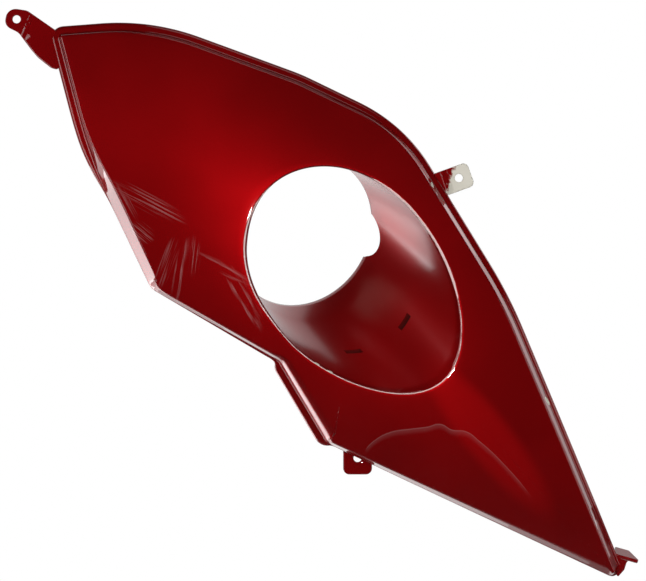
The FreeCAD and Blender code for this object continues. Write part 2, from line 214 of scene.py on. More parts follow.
key_turns = np.concatenate([SLOT_TURNS - slot_half, SLOT_TURNS + slot_half, notch_ends])
key_way = np.interp(key_turns, turn_table, rim_way)
key_way = loop_way[0] + np.mod(key_way - loop_way[0], math.tau)
key_run = np.interp(key_way, loop_way, run)
near_key = np.abs(base_run[:, None] - key_run[None, :]).min(1) < 0.4 * COLUMN_STEP
column_run = np.sort(np.concatenate([base_run[~near_key], key_run]))
column_way = np.interp(column_run, run, loop_way)
turn_way = rim_way[0] + np.mod(column_way - rim_way[0], math.tau)
turn = np.interp(turn_way, rim_way, turn_table)


# Shell: one moulded wall. Its section runs from the lip through the funnel, over the rounded rim, across
# the face, round the outer edge and down to the stepped flange, and back along the inside to the lip.
FLANGE_DROP = 7.0
edge_x = np.interp(column_run, run, loop[:, 0])
edge_z = np.interp(column_run, run, loop[:, 1])
heading = np.interp(column_run, run, loop[:, 2])
out_x = np.sin(heading)
out_z = -np.cos(heading)

# Places round the outline: X, Z, how far the foot of the wall stands outside the outline, the width of the
# sloped wall seen from the front, the round of the face edge, and how far the flange reaches out.
EDGE_PLACES = np.array([
    (-156.5, 122.0, -0.6, 0.8, 1.2, 5.0),
    (-150.0, 98.0, -0.7, 1.0, 0.9, 5.0),
    (-143.5, 74.0, -0.6, 1.5, 0.8, 5.0),
    (-137.0, 52.0, -0.6, 2.6, 0.8, 4.7),
    (-132.0, 38.0, -0.5, 4.6, 0.8, 3.0),
    (-127.5, 25.0, -0.3, 6.2, 0.8, 1.0),
    (-124.5, 17.0, 0.0, 6.6, 0.8, 0.15),
    (-113.0, -8.0, 0.0, 6.8, 0.8, 0.15),
    (-101.0, -31.0, 0.0, 6.2, 0.8, 0.15),
    (-95.0, -36.5, 0.0, 4.2, 0.8, 0.15),
    (-85.0, -43.5, 0.0, 2.0, 0.8, 0.15),
    (-30.0, -75.0, 0.0, 1.8, 0.9, 0.15),
    (-18.0, -82.5, 0.0, 2.2, 1.2, 1.2),
    (-12.0, -88.0, 0.0, 3.8, 3.4, 4.7),
    (2.0, -112.0, 0.0, 4.4, 4.4, 5.0),
    (13.0, -130.5, 0.0, 4.2, 4.0, 4.6),
    (17.5, -136.3, 0.0, 2.4, 1.4, 1.4),
    (24.0, -139.3, 0.0, 1.8, 0.9, 0.15),
    (100.0, -175.0, 0.0, 2.2, 0.8, 0.15),
    (180.0, -213.0, 0.0, 3.9, 0.8, 0.15),
    (198.0, -221.5, 0.0, 2.6, 0.6, 0.15),
    (203.6, -222.0, 0.5, 1.4, 0.6, 1.6),
    (200.0, -215.0, 1.6, 2.4, 0.7, 4.0),
    (180.0, -167.0, 2.2, 3.0, 0.7, 4.9),
    (150.0, -96.0, 1.8, 2.9, 0.7, 5.0),
    (115.0, -25.0, 1.2, 2.7, 0.7, 5.0),
    (85.0, 24.0, 1.0, 2.5, 0.7, 5.0),
    (50.0, 67.0, 0.5, 2.0, 0.8, 5.0),
    (0.0, 92.0, 0.0, 1.6, 0.9, 5.0),
    (-97.0, 125.0, -0.2, 1.3, 1.0, 5.0),
    (-150.0, 127.0, -0.4, 0.9, 1.2, 5.0),
])
place_gap = np.hypot(loop[:, None, 0] - EDGE_PLACES[:, 0], loop[:, None, 1] - EDGE_PLACES[:, 1])
place_run = run[place_gap.argmin(0)]


def round_outline(values):
    """Value at each column: straight changes between the places, then smoothed over the next columns."""
    order = np.argsort(place_run)
    level = np.interp(column_run, place_run[order], values[order], period=run[-1])
    reach = 5
    weights = np.hanning(2 * reach + 1)
    return np.convolve(np.pad(level, reach, mode="wrap"), weights / weights.sum(), mode="valid")


LEAST_FLANGE = 0.12
foot_out = round_outline(EDGE_PLACES[:, 2])
slope_width = round_outline(EDGE_PLACES[:, 3])
edge_round = round_outline(EDGE_PLACES[:, 4])
flange_out = np.maximum(round_outline(EDGE_PLACES[:, 5]), foot_out + LEAST_FLANGE)
flange_width = flange_out - foot_out


def ramp(value, start, end):
    """0 up to the start, 1 past the end, and straight between."""
    return np.clip((value - start) / (end - start), 0, 1)


# Along the top and the right the flange lies closer to the face, and the wall there is less steep.
FLANGE_LIFT = 3.4
up_right = ramp(0.86 * out_x + 0.52 * out_z, 0.0, 0.5)
lifted = up_right * ramp(edge_x, -140.0, -100.0) * ramp(edge_z, -202.0, -177.0)
flange_drop = FLANGE_DROP - FLANGE_LIFT * lifted


def at_edge(out, inset):
    """Point at a distance outside the outline, on the crown set back by inset."""
    x = edge_x + out * out_x
    z = edge_z + out * out_z
    return np.stack([x, crown(x, z, inset), z], 1)


def moved(point, out, back):
    """Point moved outwards from the outline and straight back."""
    return point + np.stack([out * out_x, back, out * out_z], 1)


def between(first, last, rows, ease=0.0):
    """Rows of points from first to last; ease above 0 crowds them towards both ends."""
    share = np.linspace(0, 1, rows)
    share = share - ease * np.sin(2 * math.pi * share) / (2 * math.pi)
    return first + share[:, None, None] * (last - first)


def arc_between(first, corner, last, rows):
    """Round corner: a rational quadratic curve from first to last. The weight of its corner is the cosine
    of half the turn."""
    one = first - corner
    two = last - corner
    cosine = (one * two).sum(1) / np.linalg.norm(one, axis=1) / np.linalg.norm(two, axis=1)
    weight = np.sqrt(np.clip((1 - cosine) / 2, 0, 1))
    share = np.linspace(0, 1, rows)[:, None]
    near = (1 - share) ** 2 + 0 * weight
    middle = 2 * share * (1 - share) * weight
    far = share ** 2 + 0 * weight
    near, middle, far = np.stack([near, middle, far])[..., None] / (near + middle + far)[..., None]
    return near * first + middle * corner + far * last


def unit(vectors):
    """Vectors brought to length 1."""
    return vectors / np.linalg.norm(vectors, axis=-1, keepdims=True)


def funnel_side(height, extra):
    """Wall of the lip and funnel at a height along the lamp's axis."""
    rise = (egg(turn, extra) - ring(turn, np.full_like(turn, LIP), extra)) @ FORWARD
    share = np.maximum(height - LIP, 0) / rise
    low = ring(turn, np.minimum(height, LIP), extra)
    return np.where((height > LIP)[:, None], funnel(turn, share, extra), low)


def funnel_height(share, extra):
    """Height along the lamp's axis of a share of the funnel."""
    rise = (egg(turn, extra) - ring(turn, np.full_like(turn, LIP), extra)) @ FORWARD
    return LIP + share * rise


LEAST_LIP = 0.6
HIGHEST_SLOT = (0.80, 0.90)


def funnel_rows(top, extra, counts):
    """Rows of the lip and funnel wall from the back end, cut back at the notch, up to a height; one band of
    rows lies between the two long sides of the slots."""
    aside = (OPENING_RADIUS + extra) * np.sin(turn - NOTCH_TURN)
    facing = np.cos(turn - NOTCH_TURN) > 0
    bite = NOTCH_DEPTH - NOTCH_RADIUS + np.sqrt(np.maximum(NOTCH_RADIUS ** 2 - aside ** 2, 0))
    start = np.where(facing & (np.abs(aside) < NOTCH_RADIUS), np.maximum(bite, 0), 0.0)
    kink = np.maximum(LIP, start + LEAST_LIP)
    below = np.minimum(funnel_height(SLOT_SHARE - slot_band, extra), kink + HIGHEST_SLOT[0] * (top - kink))
    above = np.minimum(funnel_height(SLOT_SHARE + slot_band, extra), kink + HIGHEST_SLOT[1] * (top - kink))
    stops = [start, kink, below, above, top]
    rows = []
    for low, high, rows_here in zip(stops[:-1], stops[1:], counts):
        for share in np.arange(rows_here) / rows_here:
            rows.append(funnel_side(low + share * (high - low), extra))
    return np.stack(rows)


def stretch(value, start, end, rise, fall):
    """1 between the start and the end, with a straight rise after the one and fall before the other."""
    return ramp(value, start, start + rise) * (1 - ramp(value, end - fall, end))


def eased(share):
    """Smooth step: 3 share^2 - 2 share^3."""
    return share ** 2 * (3 - 2 * share)


# Rim: the edge between funnel and face is rounded. On the left it is rounder and hangs over the opening.
# Degrees are counted from the right, seen from the middle of the egg.
RIM_ROUND = 1.8
LEFT_RIM_ROUND = 3.2
LEFT_RIM_RUN = 3.0
OUT_ROWS = (3, 3, 3, 6)
rim_at = rim_share(turn, 0.0, 0.0)
rim_corner = funnel(turn, rim_at)
slant = np.linalg.norm(egg(turn) - ring(turn, np.full_like(turn, LIP)), axis=1)
rim_degrees = np.degrees(direction(rim_corner[:, 0], rim_corner[:, 2]))
on_left = eased(stretch(rim_degrees % 360, 116, 228, 40, 40))
rim_round = RIM_ROUND + (LEFT_RIM_ROUND - RIM_ROUND) * on_left
rim_inner = funnel(turn, rim_at - rim_round / slant)
inwards = unit(EGG_MIDDLE - rim_corner[:, [0, 2]]) * (LEFT_RIM_RUN * on_left)[:, None]
rim_corner = rim_corner + np.stack([inwards[:, 0], 0 * turn, inwards[:, 1]], 1)
rim_corner[:, 1] = crown(rim_corner[:, 0], rim_corner[:, 2])
nose = rim_corner + np.outer(rim_round, (0.0, 1.0, 0.0))
rim_inner = rim_inner + on_left[:, None] * (nose - rim_inner)

# Face and outer edge: the crown runs from the rim to the rounded top of the sloped wall.
face_end = foot_out - slope_width
edge_corner = at_edge(face_end, 0.0)
foot = at_edge(foot_out, flange_drop)
edge_rows = arc_between(at_edge(face_end - edge_round, 0.0), edge_corner,
                        edge_corner + unit(foot - edge_corner) * edge_round[:, None], 9)
face_way = unit((edge_rows[0] - rim_corner)[:, [0, 2]]) * rim_round[:, None]
rim_outer_x = rim_corner[:, 0] + face_way[:, 0]
rim_outer_z = rim_corner[:, 2] + face_way[:, 1]
rim_outer = np.stack([rim_outer_x, crown(rim_outer_x, rim_outer_z), rim_outer_z], 1)
inner_rows = funnel_rows(funnel_height(rim_at - rim_round / slant, 0.0), 0.0, OUT_ROWS)
rim_rows = arc_between(rim_inner, rim_corner, rim_outer, 10)
face_rows = between(rim_outer, edge_rows[0], 16, 0.4)
face_rows[..., 1] = crown(face_rows[..., 0], face_rows[..., 2])

# The sloped wall meets the flange in a small hollow round, and the flange ends in a full round edge.
HOLLOW = 0.7
FLANGE_ROUND = 1.9
WIDTH_FOR_ROUNDS = 3.4
flange_room = np.clip((flange_width - LEAST_FLANGE) / WIDTH_FOR_ROUNDS, 0.04, 1.0)
hollow_start = foot + unit(edge_corner - foot) * (HOLLOW * flange_room)[:, None]
hollow_end = at_edge(foot_out + HOLLOW * flange_room, flange_drop)
wall_rows = between(edge_rows[-1], hollow_start, 5)
hollow_rows = arc_between(hollow_start, foot, hollow_end, 5)
lip_corner = at_edge(flange_out, flange_drop)
lip_start = at_edge(flange_out - FLANGE_ROUND * flange_room, flange_drop)
lip_end = moved(lip_corner, 0.0, FLANGE_ROUND * np.maximum(flange_room, 0.2))
flange_rows = between(hollow_end, lip_start, 4)
lip_rows = arc_between(lip_start, lip_corner, lip_end, 8)
BACK_ROUND = 0.4
back_corner = at_edge(flange_out, flange_drop + WALL)
back_start = moved(back_corner, 0.0, np.full_like(turn, -BACK_ROUND))
back_end = at_edge(flange_out - BACK_ROUND * np.maximum(flange_room, 0.2), flange_drop + WALL)
back_rows = arc_between(back_start, back_corner, back_end, 4)

# Inside: under the flange, up the inside of the wall, along the inside of the face and down the funnel.
steepness = np.arctan2(foot[:, 1] - edge_corner[:, 1], slope_width)
shift = WALL * np.tan(steepness / 2)
INSIDE_ROUND = 0.7
under = at_edge(foot_out - shift, flange_drop + WALL)
inside_corner = at_edge(face_end - shift, WALL)
inside_rows = arc_between(inside_corner + unit(under - inside_corner) * INSIDE_ROUND, inside_corner,
                          at_edge(face_end - shift - INSIDE_ROUND, WALL), 6)
under_rows = between(back_end, under, 3)
inside_wall_rows = between(under, inside_rows[0], 3)
outer_at = rim_share(turn, WALL, WALL)
outer_corner = funnel(turn, outer_at, WALL)
inside_face_rows = between(inside_rows[-1], outer_corner, 7)
inside_face_rows[..., 1] = crown(inside_face_rows[..., 0], inside_face_rows[..., 2], WALL)
outer_rows = funnel_rows(funnel_height(outer_at, WALL), WALL, OUT_ROWS)[::-1]

bands = [inner_rows, rim_rows[:-1], face_rows[:-1], edge_rows[:-1], wall_rows[:-1], hollow_rows[:-1],
         flange_rows[:-1], lip_rows, back_rows[:-1], under_rows[:-1], inside_wall_rows[:-1],
         inside_rows[:-1], inside_face_rows[:-1], outer_corner[None], outer_rows]
section = np.concatenate(bands)
band_start = np.cumsum([0] + [len(band) for band in bands])
row_count, columns = section.shape[:2]


def wrapped_quads(rows, cols):
    """Four corner numbers of every cell of a grid that closes on itself both ways."""
    row = np.arange(rows)[:, None]
    col = np.arange(cols)[None, :]
    next_row = (row + 1) % rows
    next_col = (col + 1) % cols
    here = row * cols
    there = next_row * cols
    return np.stack([here + col, here + next_col, there + next_col, there + col], -1)


# Slots: the cells between the slots' sides are left out front and back, for the pockets that follow.
keep = np.ones((row_count, columns), bool)
front_rows = np.arange(sum(OUT_ROWS[:2]), sum(OUT_ROWS[:3]) + 1)
rear_rows = band_start[-2] + len(outer_rows) - 1 - front_rows
turn_next = np.roll(turn, -1)
slot_mouths = []
for middle, half in zip(SLOT_TURNS, slot_half):
    centre = (turn + turn_next) / 2
    inside = np.where((np.abs(centre - middle) < half) & (np.abs(turn_next - turn) < 1))[0]
    keep[np.ix_(front_rows[:-1], inside)] = False
    keep[np.ix_(rear_rows[1:], inside)] = False
    cols = np.concatenate([inside, [(inside[-1] + 1) % columns]])
    border_row = np.concatenate([np.zeros(len(cols) - 1, int), np.arange(len(front_rows) - 1),
                                 np.full(len(cols) - 1, len(front_rows) - 1),
                                 np.arange(len(front_rows) - 1, 0, -1)])
    border_col = np.concatenate([np.arange(len(cols) - 1), np.full(len(front_rows) - 1, len(cols) - 1),
                                 np.arange(len(cols) - 1, 0, -1), np.zeros(len(front_rows) - 1, int)])
    front = front_rows[border_row] * columns + cols[border_col]
    back = rear_rows[border_row] * columns + cols[border_col]
    slot_mouths.append((front, back, len(inside)))
shell_points = section.reshape(-1, 3)
shell_faces = wrapped_quads(row_count, columns)[keep]


def inside_out(points, faces):
    """True if the volume between the faces and the middle of their points comes out negative."""
    a, b, c, d = (points[faces[:, i]] - points.mean(0) for i in range(4))
    return (np.cross(a, b) * c).sum() + (np.cross(a, c) * d).sum() < 0


shell_faces = shell_faces[:, ::-1] if inside_out(shell_points, shell_faces) else shell_faces
cover_points = [shell_points]
cover_faces = [shell_faces]
flat_faces = [np.zeros(len(shell_faces), bool)]
caps = []

# Sprayed paint follows the outside of the section: full on the face, thinning out over the flange's back
# and round the back end of the lip, and past full in the funnel, whose lighter red there is painted light.
# Flat paint shows no flake.
FUNNEL_PAINT_AND_LIGHT = 1.5
FLAT_PAINT = 0.84
LIP_END_PAINT = (0.3, 0.5, 0.7)
row_paint_and_light = np.concatenate([
    np.full(band_start[8], 1.0),
    np.linspace(1.0, 0.8, len(back_rows) - 1),
    np.linspace(0.75, 0.3, len(under_rows) - 1),
    np.linspace(0.25, 0.0, len(inside_wall_rows) - 1),
    np.zeros(row_count - band_start[11]),
])
row_paint_and_light[-len(LIP_END_PAINT):] = LIP_END_PAINT
# Painted light: the funnel's value past full paints it a lighter red.
row_paint_and_light[:band_start[1]] = FUNNEL_PAINT_AND_LIGHT
cover_paint_and_light = [np.repeat(row_paint_and_light, columns)]

# Along the crest of the rim the paint is rubbed thin, and the pale line there is also a painted highlight:
# not at its top, and only in dots on the right. The crest and the half width of the rub are counted in rows
# of the rim.
at_top = stretch(rim_degrees, 86, 134, 6, 6)
at_right = stretch(rim_degrees, -44, 6, 10, 8)
at_upper_right = stretch(rim_degrees, -5, 88, 15, 10)
rub_and_painted_light = (1 - at_top) * (1 - 0.34 * at_right)
crest_row = 4.5 + 2.0 * on_left
rub_highlight_half = 1.6 + 1.6 * at_upper_right
rub_highlight_rows = np.zeros((row_count, columns))
for row in range(len(rim_rows)):
    rub_highlight_rows[band_start[1] + row] = rub_and_painted_light * np.clip(rub_highlight_half - np.abs(row - crest_row), 0, 1)
cover_rub_highlight_shade = [rub_highlight_rows.ravel()]

# Pockets: each slot is the mouth of a blind pocket, moulded in a small boss on the hidden side of the
# funnel. Its walls and floor are darkened with painted shade, so they are marked below zero in the
# attribute for the rub.
POCKET_DEPTH = 6.5
BOSS_WALL = 1.4
BOSS_OVERLAP = 0.4
MOUTH_SHADE = -0.55
FLOOR_SHADE = -1.0
for front, back, steps in slot_mouths:
    mouth = shell_points[front]
    through = unit(shell_points[back] - mouth).mean(0)
    through = through / np.linalg.norm(through)
    offset = mouth - mouth.mean(0)
    long_way = unit(mouth[steps] - mouth[0])
    wide_way = np.cross(through, long_way)
    long_part = offset @ long_way
    wide_part = offset @ wide_way
    at_end = np.abs(long_part) > 0.97 * np.abs(long_part).max()
    at_side = np.abs(wide_part) > 0.80 * np.abs(wide_part).max()
    aside = along(long_way, np.sign(long_part) * at_end) + along(wide_way, np.sign(wide_part) * at_side)
    floor_ring = mouth + POCKET_DEPTH * through
    boss_low = mouth + (WALL - BOSS_OVERLAP) * through + BOSS_WALL * aside
    boss_high = floor_ring + BOSS_WALL * (aside + through)
    count = len(mouth)
    start = sum(len(part) for part in cover_points)
    cover_points.append(np.concatenate([mouth, floor_ring, boss_low, boss_high]))
    ring_of = np.arange(count)
    next_of = np.roll(ring_of, -1)
    walls = np.stack([ring_of, next_of, next_of + count, ring_of + count], 1)
    facing = np.cross(mouth[next_of] - mouth, floor_ring - mouth)
    inward = -(facing * offset).sum() > 0
    walls = walls if inward else walls[:, ::-1]
    boss_walls = walls[:, ::-1] + 2 * count
    cover_faces.append(np.concatenate([walls, boss_walls]) + start)
    flat_faces.append(np.ones(2 * count, bool))
    caps.append((ring_of if inward else ring_of[::-1]) + start + count)
    caps.append((ring_of[::-1] if inward else ring_of) + start + 3 * count)
    cover_paint_and_light.append(np.repeat([FLAT_PAINT, FLAT_PAINT, 0.0, 0.0], count))
    cover_rub_highlight_shade.append(np.repeat([MOUTH_SHADE, FLOOR_SHADE, 0.0, 0.0], count))


# Fixing tabs: flat ears moulded with the cover, three of them with a clearance hole for a 5 mm screw. They
# are plates of one thickness, laid where the flange or a rib carries them.
TAB_WALL = 2.5
HOLE_RADIUS = 2.6
HOLE_CHAMFER = 0.25


def plate(corners, place, thickness, edge, paint, hole=None, count=140, front_count=5):
    """Plate over a rounded loop. Its rows run over the front, round the edge by (1 - sin, 1 - cos) of a
    quarter turn, and over the back. A hole closes the rows on each other; without one both faces are
    capped."""
    loop = rounded_loop(np.array(corners, float), 0.12)
    length = np.concatenate([[0.0], np.cumsum(np.hypot(np.diff(loop[:, 0]), np.diff(loop[:, 1])))])
    even = np.linspace(0, length[-1], count, endpoint=False)
    p, q, heading = (np.interp(even, length, loop[:, i]) for i in range(3))
    quarter = np.linspace(0, math.pi / 2, 5)
    inset = np.concatenate([edge * (1 - np.sin(quarter)), edge * (1 - np.cos(quarter))])
    depth = np.concatenate([edge * (1 - np.cos(quarter)), thickness - edge * (1 - np.sin(quarter))])
    rows_p = p - inset[:, None] * np.sin(heading)
    rows_q = q + inset[:, None] * np.cos(heading)
    rows_d = np.repeat(depth[:, None], count, 1)
    if hole:
        hole_p, hole_q, radius = hole
        spoke = np.arctan2(q - hole_q, p - hole_p)
        wide = radius + HOLE_CHAMFER
        ring_r = np.array([wide, radius, radius, wide])
        ring_d = np.array([thickness, thickness - HOLE_CHAMFER, HOLE_CHAMFER, 0.0])
        ring_p = hole_p + ring_r[:, None] * np.cos(spoke)
        ring_q = hole_q + ring_r[:, None] * np.sin(spoke)
        share = (np.arange(front_count) / front_count)[1:, None]
        front_p = ring_p[3] + share * (rows_p[0] - ring_p[3])
        front_q = ring_q[3] + share * (rows_q[0] - ring_q[3])
        back_p = rows_p[-1] + (1 - share[::-1]) * (ring_p[0] - rows_p[-1])
        back_q = rows_q[-1] + (1 - share[::-1]) * (ring_q[0] - rows_q[-1])
        rows_p = np.concatenate([front_p, rows_p, back_p, ring_p])
        rows_q = np.concatenate([front_q, rows_q, back_q, ring_q])
        ring_d = np.repeat(ring_d[:, None], count, 1)
        rows_d = np.concatenate([0 * front_p, rows_d, thickness + 0 * back_p, ring_d])
    points = place(rows_p.ravel(), rows_q.ravel(), rows_d.ravel())
    quads = wrapped_quads(len(rows_p), count)
    quads = quads if hole else quads[:-1]
    faces = quads.reshape(-1, 4)
    start = sum(len(part) for part in cover_points)
    front_ring = np.arange(count)
    back_ring = (len(rows_p) - 1) * count + np.arange(count)
    turned = inside_out(points, faces)
    faces = faces[:, ::-1] if turned else faces
    if not hole:
        caps.append((front_ring if turned else front_ring[::-1]) + start)
        caps.append((back_ring[::-1] if turned else back_ring) + start)
    cover_points.append(points)
    cover_faces.append(faces + start)
    flat_faces.append(np.zeros(len(faces), bool))
    front_share = np.clip(1 - rows_d.ravel() / thickness, 0, 1)
    cover_paint_and_light.append(paint(points, front_share))
    cover_rub_highlight_shade.append(np.zeros(len(points)))


def painted(points, front_share):
    """Paint on the front and edge of a tab, thinning out over its back."""
    return 0.25 + 0.60 * np.clip(front_share * 3, 0, 1)


# The upper left tab is a strap in line with the flange, with a round pad folded a little back at its end.
# It is moulded with the flange and painted on its front and edges.
PAD_AT = np.array([-184.2, 136.9])
PAD_DEPTH = 6.5
SEAT_GAP = 0.1
STRAP_WAY = np.array([-0.937, 0.350])
STRAP = [
    (-158.2, 129.2, 1.5), (-177.3, 142.6, 7.0), (-190.2, 144.5, 6.5), (-192.2, 132.8, 5.5),
    (-183.0, 128.2, 9.0), (-174.6, 117.0, 14.0), (-170.2, 111.8, 10.0), (-161.5, 104.9, 1.6),
    (-157.8, 103.9, 1.0), (-152.2, 107.0, 0.8), (-155.8, 125.6, 0.8),
]


def strap_place(x, z, back):
    """Strap on the flange's depth, eased by a smooth step to the flat pad past the fold."""
    way = (x - PAD_AT[0]) * STRAP_WAY[0] + (z - PAD_AT[1]) * STRAP_WAY[1]
    share = eased(ramp(way, -10.0, -5.0))
    front = crown(x, z, FLANGE_DROP) + SEAT_GAP
    return np.stack([x, front + share * (PAD_DEPTH - front) + back, z], 1)


plate(STRAP, strap_place, TAB_WALL, 0.6, painted, (PAD_AT[0], PAD_AT[1], HOLE_RADIUS), 140, 18)

# The right tab is a straight plate of bare plastic that seats on the flange's back. The spray only reached
# the upper part of its root, and fades out along a slant.
SIDE_AT = np.array([100.6, 33.4])
SIDE_DEPTH = -30.8
SPRAY_REACH = 6.0
SPRAY_SLANT = 0.75
SPRAY_FADE = 26.0
SIDE_WAY = np.array([math.cos(math.radians(19.9)), math.sin(math.radians(19.9))])


def tab_corners(at, way, half, end, root, corner):
    """Four corners of a straight tab: its hole at a place, its end beyond it and its root behind it."""
    side = np.array([-way[1], way[0]]) * half
    at = np.array(at)
    outer = [(at + way * end - side, corner), (at + way * end + side, corner)]
    inner = [(at - way * root + side, 0.8), (at - way * root - side, 0.8)]
    return [(x, z, radius) for (x, z), radius in outer + inner]


def overspray(points, front_share):
    """Paint that fades out along the tab from its upper root."""
    x = points[:, 0] - SIDE_AT[0]
    z = points[:, 2] - SIDE_AT[1]
    along_tab = x * SIDE_WAY[0] + z * SIDE_WAY[1]
    across_tab = z * SIDE_WAY[0] - x * SIDE_WAY[1]
    past_spray = along_tab + SPRAY_REACH - SPRAY_SLANT * across_tab
    return np.clip(0.5 - past_spray / SPRAY_FADE, 0, FLAT_PAINT) * (0.3 + 0.7 * front_share)


def side_place(x, z, back):
    """Right tab, flat round its hole, eased forward by a smooth step to its seat on the flange's back."""
    way = (x - SIDE_AT[0]) * SIDE_WAY[0] + (z - SIDE_AT[1]) * SIDE_WAY[1]
    share = eased(ramp(-way, 5.0, 11.0))
    return np.stack([x, SIDE_DEPTH - FLANGE_LIFT * share + back, z], 1)


plate(tab_corners(SIDE_AT, SIDE_WAY, 8.0, 8.2, 17.0, 3.5), side_place, TAB_WALL, 0.7, overspray,
      (SIDE_AT[0], SIDE_AT[1], HOLE_RADIUS), 110, 12)

# The bottom tab is a short plate behind the bottom edge. It stands on a rib that is moulded on the back of
# the face, and only its front and edges are painted.
LOW_AT = np.array([36.0, -145.6])
LOW_DEPTH = -24.0
LOW_HALF = 9.25
LOW_ROOT = 11.0
RIB_REACH = 16.5
RIB_OVERLAP = 0.2
RIB_SINK = 0.6


def low_place(x, z, back):
    """Bottom tab, flat and parallel to the front."""
    return np.stack([x, LOW_DEPTH + back, z], 1)


plate(tab_corners(LOW_AT, np.array([0.0, -1.0]), LOW_HALF, 10.6, LOW_ROOT, 4.0), low_place, TAB_WALL, 0.7,
      painted, (LOW_AT[0], LOW_AT[1], HOLE_RADIUS))
RIB = [
    (-LOW_HALF, 0.0, 0.6), (LOW_HALF, 0.0, 0.6),
    (LOW_HALF, RIB_REACH, 0.6), (-LOW_HALF, RIB_REACH, 0.6),
]


def rib_place(p, q, back):
    """Rib square to the tab, from its back towards the inside of the face, its inner end on the crown."""
    x = LOW_AT[0] + p
    z = LOW_AT[1] + LOW_ROOT - RIB_OVERLAP - back
    rear = LOW_DEPTH + TAB_WALL - RIB_OVERLAP
    inner = crown(x, z, WALL) - RIB_SINK
    return np.stack([x, rear + (inner - rear) * q / RIB_REACH, z], 1)


def barely_painted(points, front_share):
    """Trace of spray all over a rib."""
    return np.full(len(points), 0.15)


plate(RIB, rib_place, TAB_WALL, 0.5, barely_painted, None, 80)

# The tip tab is a small pointed plate without a hole. It is folded back from a web in line with the
# flange, at the lower right end of the cover.
TIP_AT = np.array([203.0, -207.8])
TIP_FALL = math.radians(15.5)
TIP_RISE = math.radians(20.0)
TIP_WAY = np.array([math.cos(TIP_FALL), 0.0, -math.sin(TIP_FALL)])
TIP_UP = np.array([math.sin(TIP_FALL), 0.0, math.cos(TIP_FALL)])
TIP_BACK = np.array([0.0, math.cos(TIP_RISE), 0.0]) + TIP_UP * math.sin(TIP_RISE)
TIP_UNDER = np.cross(TIP_BACK, TIP_WAY)
tip_start = np.array([TIP_AT[0], float(crown(TIP_AT[0], TIP_AT[1])) + FLANGE_DROP, TIP_AT[1]])


def tip_place(p, q, back):
    """Plate that runs out along the tip's way and back and up from the web."""
    return tip_start + along(TIP_WAY, p) + along(TIP_BACK, q) + along(TIP_UNDER, back)


TIP = [(-2.5, 0.2, 0.6), (14.4, 0.2, 1.2), (6.9, 12.6, 1.8), (-2.5, 12.6, 0.8)]
plate(TIP, tip_place, TAB_WALL, 0.6, painted, None, 100)
WEB = [
    (198.0, -206.4, 0.8), (198.0, -215.0, 0.8), (203.0, -222.2, 0.8),
    (207.1, -217.6, 2.0), (208.6, -212.6, 2.0), (211.8, -210.4, 0.8),
]


def web_place(x, z, back):
    """Web in line with the flange."""
    return np.stack([x, crown(x, z, FLANGE_DROP) + SEAT_GAP + back, z], 1)


plate(WEB, web_place, TAB_WALL, 0.6, painted, None, 100)


# Cover: all of it is one mesh in metres, smooth but for the pockets and the caps of the plates. It carries
# the thickness of its paint, which also holds painted light in the funnel, and its rub, which also holds a
# painted highlight on the rim and painted shade in the pockets, as two attributes.
MM = 0.001
cover_mesh = bpy.data.meshes.new("painted_cover")
all_points = np.concatenate(cover_points) * MM
all_faces = np.concatenate(cover_faces)
cover_mesh.from_pydata(all_points.tolist(), [], all_faces.tolist() + [cap.tolist() for cap in caps])
smooth_faces = np.concatenate([~np.concatenate(flat_faces), np.zeros(len(caps), bool)])
cover_mesh.polygons.foreach_set("use_smooth", smooth_faces)
cover_mesh.update()
cover = bpy.data.objects.new("painted_cover", cover_mesh)
bpy.context.scene.collection.objects.link(cover)
paint_and_light_layer = cover.data.attributes.new("paint", "FLOAT", "POINT")
paint_and_light_layer.data.foreach_set("value", np.concatenate(cover_paint_and_light).astype(np.float32))
rub_highlight_shade_layer = cover.data.attributes.new("rub_and_painted_light", "FLOAT", "POINT")
rub_highlight_shade_layer.data.foreach_set("value", np.concatenate(cover_rub_highlight_shade).astype(np.float32))

# Paint: deep red over fine flake, under a hard clear coat. It is sprayed on the off-white plastic, which
# shows on the back and wherever the paint is thin or chipped.
red = bpy.data.materials.new("red_paint")
red.use_nodes = True
nodes = red.node_tree.nodes
links = red.node_tree.links
shader = nodes["Principled BSDF"]
shader.inputs["Coat IOR"].default_value = 1.5


def node(kind, **values):
    """Shader node with some of its values set."""
    made = nodes.new(kind)
    for key, value in values.items():
        setattr(made, key, value)
    return made


def noise(scale, detail, rough=0.5):
    """Cloud pattern in the object's own coordinates."""
    made = node("ShaderNodeTexNoise")
    made.inputs["Scale"].default_value = scale
    made.inputs["Detail"].default_value = detail
    made.inputs["Roughness"].default_value = rough
    links.new(coordinates.outputs["Object"], made.inputs["Vector"])
    return made.outputs["Fac"]


def spread(value, low, high, to_low=0.0, to_high=1.0):
    """Stretch of a value from one range to another, held at the ends."""
    made = node("ShaderNodeMapRange")
    made.interpolation_type = "SMOOTHSTEP"
    for name, number in (("From Min", low), ("From Max", high), ("To Min", to_low), ("To Max", to_high)):
        made.inputs[name].default_value = number
    links.new(value, made.inputs["Value"])
    return made.outputs["Result"]


def blend_colour(factor, first, second):
    """Mix of two colours, each a fixed colour or another mix."""
    made = node("ShaderNodeMix", data_type="RGBA")
    links.new(factor, made.inputs["Factor"])
    for name, colour in (("A", first), ("B", second)):
        socket = [s for s in made.inputs if s.name == name and s.type == "RGBA"][0]
        if isinstance(colour, tuple):
            socket.default_value = (*colour, 1)
        else:
            links.new(colour, socket)
    return [s for s in made.outputs if s.type == "RGBA"][0]


def sum_of(first, second, weight):
    """First value plus a weight times the second."""
    made = node("ShaderNodeMath", operation="MULTIPLY_ADD")
    links.new(second, made.inputs[0])
    made.inputs[1].default_value = weight
    links.new(first, made.inputs[2])
    return made.outputs[0]


